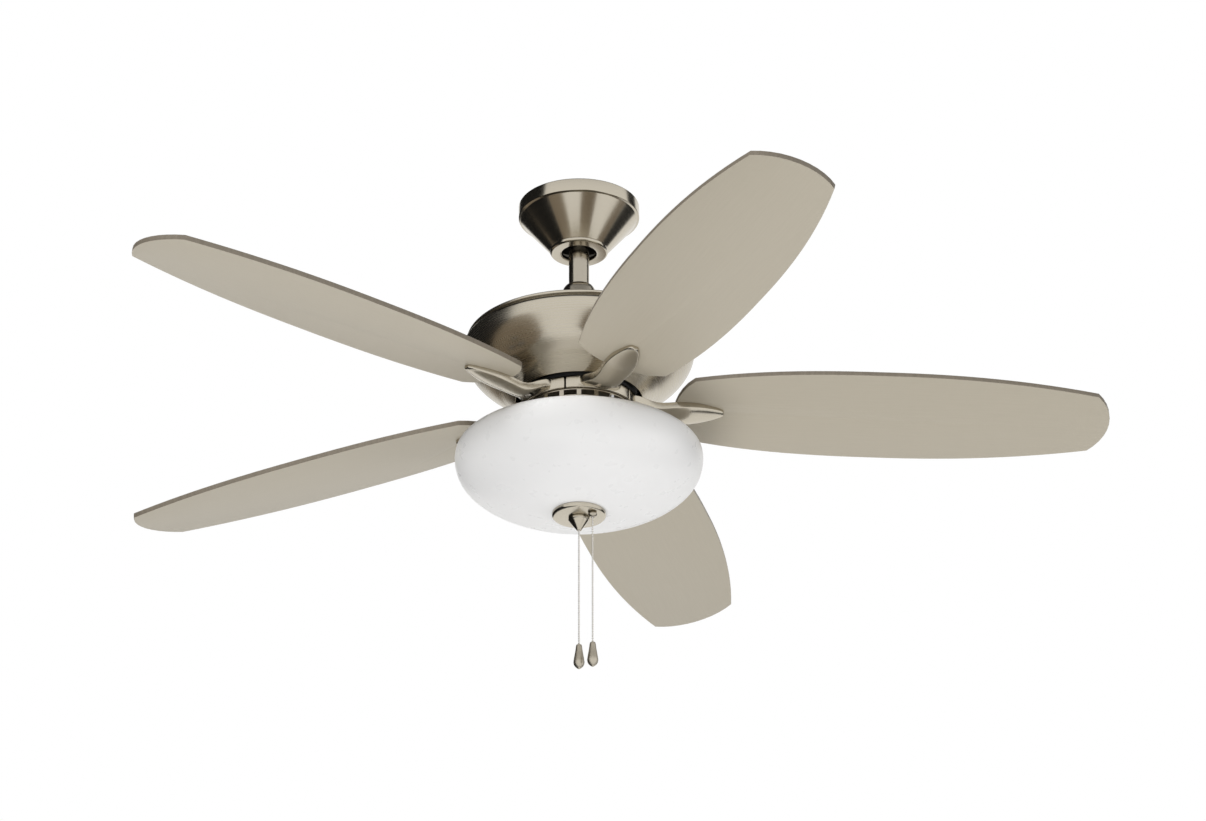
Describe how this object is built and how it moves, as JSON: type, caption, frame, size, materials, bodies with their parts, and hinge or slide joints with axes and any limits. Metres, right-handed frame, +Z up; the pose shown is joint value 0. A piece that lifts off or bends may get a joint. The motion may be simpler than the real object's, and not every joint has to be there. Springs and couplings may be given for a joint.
{
  "type": "ceiling fan with light",
  "caption": "Ceiling fan on a short down rod, with curved blades on arms under a round motor housing, an opal glass bowl light and pull chains.",
  "frame": {"origin": "centre of the hanger bracket's face on the ceiling", "axes": "+Z up along the down rod, out of the ceiling face; +X along the bracket's two slots; -Y towards the side that the fan's pull chain is on"},
  "size_m": [1.2319, 1.2609, 0.638],
  "materials": {
    "brushed_nickel": "brushed nickel plating, satin",
    "zinc_steel": "zinc plated",
    "pan_enamel": "white enamel",
    "cast_metal": "cast, matte",
    "core_steel": "laminated steel",
    "winding_copper": "enamelled copper wire",
    "black_rubber": "matte",
    "blade_finish": "silver-taupe foil on board, matte",
    "switch_plastic": "moulded",
    "black_plastic": "moulded",
    "lead_insulation": "insulated stranded wire",
    "porcelain": "glazed",
    "bulb_glass": "frosted",
    "tube_brass": "threaded tube, plain",
    "opal_glass": "opal white, satin",
    "gasket_rubber": "soft",
    "bead_chain": "nickel plated beads"
  },
  "bodies": {
    "ceiling_mount": {"hanger_bracket": "zinc_steel", "canopy": "brushed_nickel", "canopy_ring": "brushed_nickel", "canopy_screws": "zinc_steel"},
    "hanging_body": {"hanger_ball": "cast_metal", "down_rod": "brushed_nickel", "rod_pin": "zinc_steel", "coupler": "zinc_steel", "coupler_pin": "zinc_steel", "coupling_cover": "brushed_nickel", "housing_top": "brushed_nickel", "housing_shell": "brushed_nickel", "housing_screws": "zinc_steel", "motor_shaft": "zinc_steel", "stator_core": "core_steel", "stator_windings": "winding_copper", "switch_plate": "zinc_steel", "switch_housing": "brushed_nickel", "speed_switch": "switch_plastic", "light_switch": "switch_plastic", "reverse_switch": "switch_plastic", "capacitor": "black_plastic", "lead_wires": "lead_insulation", "fitter_pan": "pan_enamel", "pan_screws": "zinc_steel", "lamp_holders": "porcelain", "bulbs": "bulb_glass", "centre_tube": "tube_brass", "glass_bowl": "opal_glass", "bowl_gasket": "gasket_rubber", "finial_plate": "brushed_nickel", "finial_knob": "brushed_nickel", "chain_bushing": "brushed_nickel"},
    "rotor": {"rotor_cap": "cast_metal", "rotor_base": "cast_metal", "rotor_cage": "core_steel", "bearings": "zinc_steel", "flywheel": "black_rubber", "arm_1": "brushed_nickel", "arm_2": "brushed_nickel", "arm_3": "brushed_nickel", "arm_4": "brushed_nickel", "arm_5": "brushed_nickel", "arm_screws": "zinc_steel", "blade_1": "blade_finish", "blade_2": "blade_finish", "blade_3": "blade_finish", "blade_4": "blade_finish", "blade_5": "blade_finish", "blade_screws": "zinc_steel", "blade_washers": "black_rubber"},
    "fan_pull": {"fan_chain_upper": "bead_chain", "fan_chain_coupling": "bead_chain", "fan_chain": "bead_chain", "fan_fob": "brushed_nickel"},
    "light_pull": {"light_chain_upper": "bead_chain", "light_chain": "bead_chain", "light_fob": "brushed_nickel"},
    "reverse_slider": {"reverse_knob": "black_plastic"}
  },
  "joints": [
    {"name": "hanger_swing", "type": "hinge", "parent": "ceiling_mount", "child": "hanging_body", "pos_m": [0, 0, -0.032], "axis": [1, 0, 0], "range_deg": [-10, 10]},
    {"name": "rotor_spin", "type": "hinge", "parent": "hanging_body", "child": "rotor", "pos_m": [0, 0, -0.282], "axis": [0, 0, 1], "continuous": true},
    {"name": "fan_pull", "type": "slide", "parent": "hanging_body", "child": "fan_pull", "axis": [0, 0, -1], "range_m": [0, 0.01], "stiffness_N_per_m": 150, "springref_m": -0.01},
    {"name": "light_pull", "type": "slide", "parent": "hanging_body", "child": "light_pull", "axis": [0, 0, -1], "range_m": [0, 0.01], "stiffness_N_per_m": 150, "springref_m": -0.01},
    {"name": "reverse_slide", "type": "slide", "parent": "hanging_body", "child": "reverse_slider", "axis": [1, 0, 0], "range_m": [-0.003, 0.003]}
  ]
}
